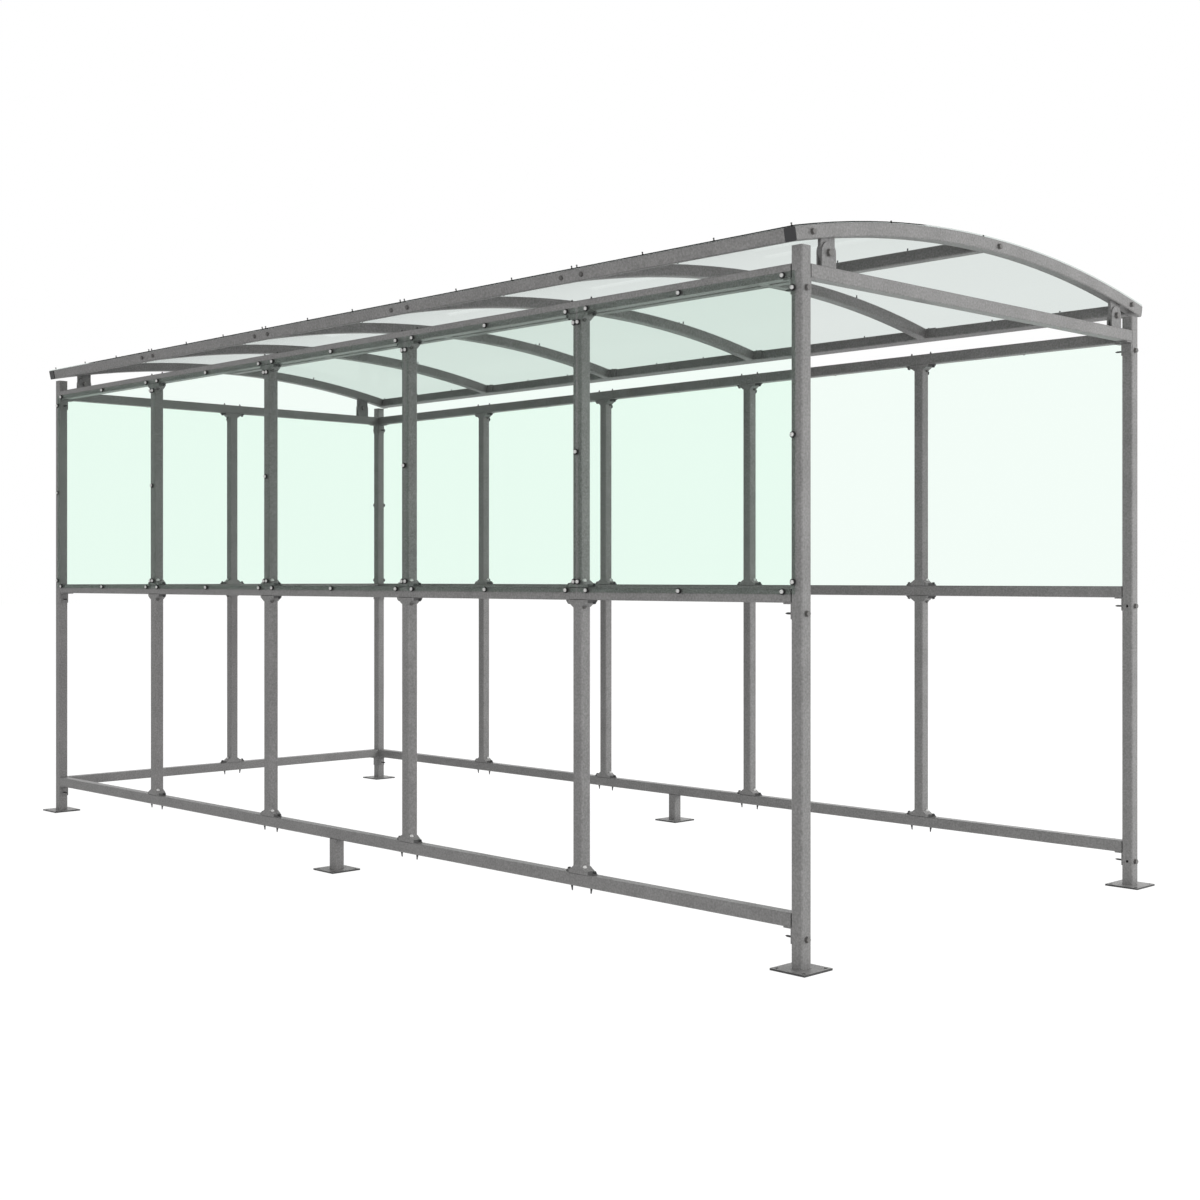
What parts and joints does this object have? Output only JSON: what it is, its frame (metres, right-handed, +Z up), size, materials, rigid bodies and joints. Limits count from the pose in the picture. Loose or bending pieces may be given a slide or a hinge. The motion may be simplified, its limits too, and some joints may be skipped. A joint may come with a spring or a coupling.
{
  "type": "smoking shelter",
  "caption": "Free-standing smoking shelter of square steel tube with clear upper wall panes, open lower bays, an open entrance end and a low clear barrel roof.",
  "frame": {"origin": "on the floor at the middle of the footprint, level with the undersides of the base plates", "axes": "+X along the long side to the open entrance end, +Y to the back long wall, +Z up"},
  "size_m": [4.564, 1.962, 2.1681],
  "materials": {
    "galvanised_steel": "grey galvanised steel, satin",
    "clear_pane": "clear sheet with a faint green tint",
    "black_cap": "black plastic",
    "bracket_steel": "zinc-plated steel"
  },
  "bodies": {
    "root": {"arch_end_caps": "black_cap", "back_bottom_rail": "galvanised_steel", "back_eave_beam": "galvanised_steel", "back_foot": "galvanised_steel", "back_left_post": "galvanised_steel", "back_lower_mullions": "galvanised_steel", "back_middle_rail": "galvanised_steel", "back_panes": "clear_pane", "back_rail_brackets": "bracket_steel", "back_right_post": "galvanised_steel", "back_top_rail": "galvanised_steel", "back_upper_mullions": "galvanised_steel", "entrance_beam": "galvanised_steel", "entrance_beam_brackets": "bracket_steel", "front_bottom_rail": "galvanised_steel", "front_eave_beam": "galvanised_steel", "front_foot": "galvanised_steel", "front_left_post": "galvanised_steel", "front_lower_mullions": "galvanised_steel", "front_middle_rail": "galvanised_steel", "front_panes": "clear_pane", "front_rail_brackets": "bracket_steel", "front_right_post": "galvanised_steel", "front_top_rail": "galvanised_steel", "front_upper_mullions": "galvanised_steel", "left_bottom_rail": "galvanised_steel", "left_end_arch": "galvanised_steel", "left_lower_mullion": "galvanised_steel", "left_middle_rail": "galvanised_steel", "left_panes": "clear_pane", "left_rail_brackets": "bracket_steel", "left_roof_tabs": "bracket_steel", "left_top_rail": "galvanised_steel", "left_upper_mullion": "galvanised_steel", "middle_arch_1": "galvanised_steel", "middle_arch_2": "galvanised_steel", "middle_arch_3": "galvanised_steel", "middle_arch_4": "galvanised_steel", "post_top_caps": "black_cap", "ridge_purlin": "galvanised_steel", "right_end_arch": "galvanised_steel", "right_roof_tabs": "bracket_steel", "roof_sheet_1": "clear_pane", "roof_sheet_2": "clear_pane", "roof_sheet_3": "clear_pane", "roof_sheet_4": "clear_pane", "roof_sheet_5": "clear_pane"}
  },
  "joints": []
}
